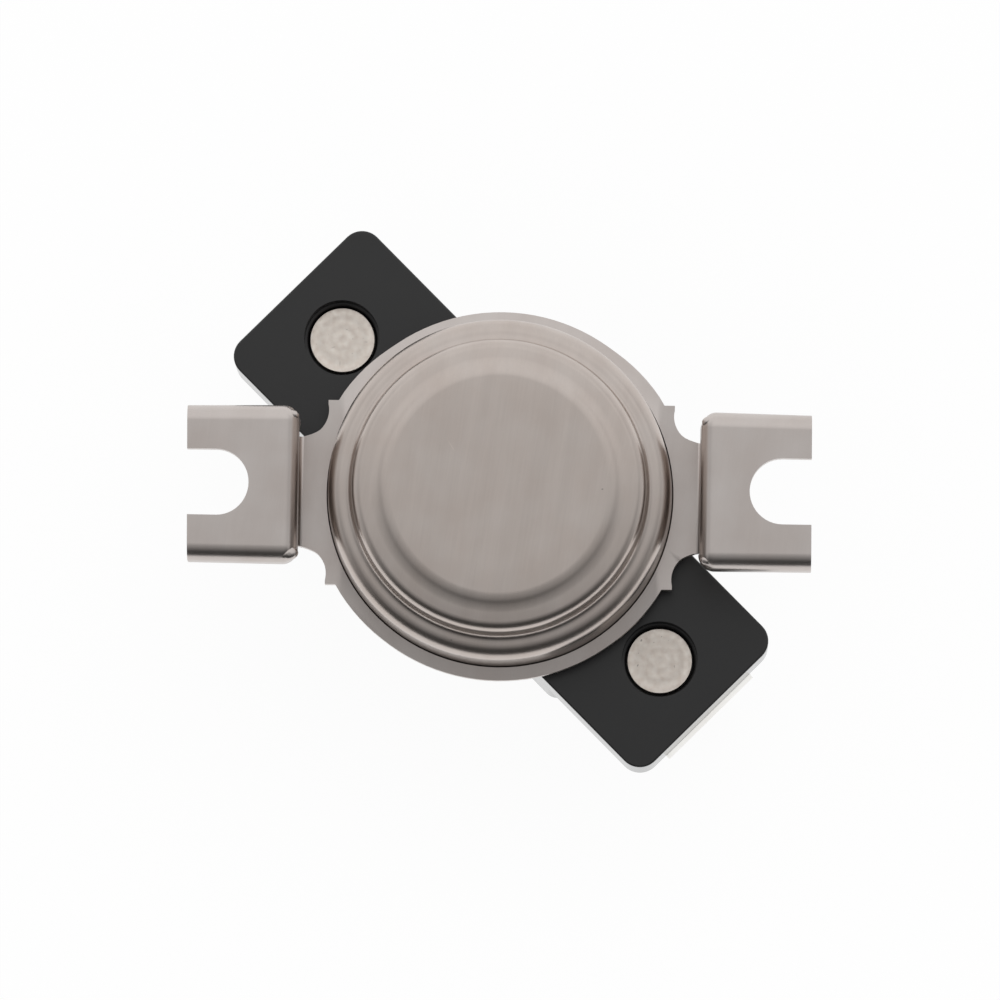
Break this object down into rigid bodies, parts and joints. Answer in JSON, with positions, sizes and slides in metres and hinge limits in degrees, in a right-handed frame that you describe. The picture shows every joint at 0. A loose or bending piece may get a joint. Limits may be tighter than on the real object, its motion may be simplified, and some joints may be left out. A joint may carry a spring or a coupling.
{
  "type": "bimetal thermostat",
  "caption": "Snap-disc bimetal thermostat with a stepped metal sensing cap, a two-eared slotted bracket, a black moulded base and blade terminals.",
  "frame": {"origin": "under the middle of the sensing cap, at the height of the blade tips", "axes": "+Z out of the sensing cap, +X along the two ears; the moulded base lies 44.5 degrees off, from -X+Y to +X-Y"},
  "size_m": [0.042, 0.0362, 0.0261],
  "materials": {
    "bracket_steel": "satin rolled strip",
    "cap_steel": "satin drawn sheet",
    "base_moulding": "matt moulded thermoset",
    "rivet_steel": "hammered, plated",
    "terminal_plate": "bright plated",
    "strip_brass": "rolled",
    "contact_silver": "bright",
    "arm_bronze": "rolled spring strip",
    "guide_ceramic": "unglazed",
    "pin_ceramic": "unglazed",
    "bimetal": "rolled"
  },
  "bodies": {
    "housing": {"mounting_bracket": "bracket_steel", "sensing_cap": "cap_steel", "switch_base": "base_moulding", "terminal_a": "terminal_plate", "terminal_rivet_a": "rivet_steel", "terminal_b": "terminal_plate", "terminal_rivet_b": "rivet_steel", "fixed_strip": "strip_brass", "arm_strip": "strip_brass", "fixed_contact": "contact_silver", "arm_root": "arm_bronze", "arm_rivet": "strip_brass", "pin_guide": "guide_ceramic", "bimetal_disc": "bimetal"},
    "arm": {"contact_arm": "arm_bronze", "moving_contact": "contact_silver"},
    "pin": {"transfer_pin": "pin_ceramic"}
  },
  "joints": [
    {"name": "pin_travel", "type": "slide", "parent": "housing", "child": "pin", "axis": [0, 0, -1], "range_m": [0, 0.0003], "deforming": ["bimetal_disc"]},
    {"name": "arm_flex", "type": "hinge", "parent": "housing", "child": "arm", "pos_m": [-0.00371, 0.00364, 0.0124], "axis": [0.7005, 0.7136, 0], "range_deg": [0, 3.35], "stiffness_Nm_per_rad": 0.02, "springref_deg": -6.88}
  ],
  "couplings": [
    {"joint": "arm_flex", "follows": "pin_travel", "rad_per_m": 192.31}
  ]
}
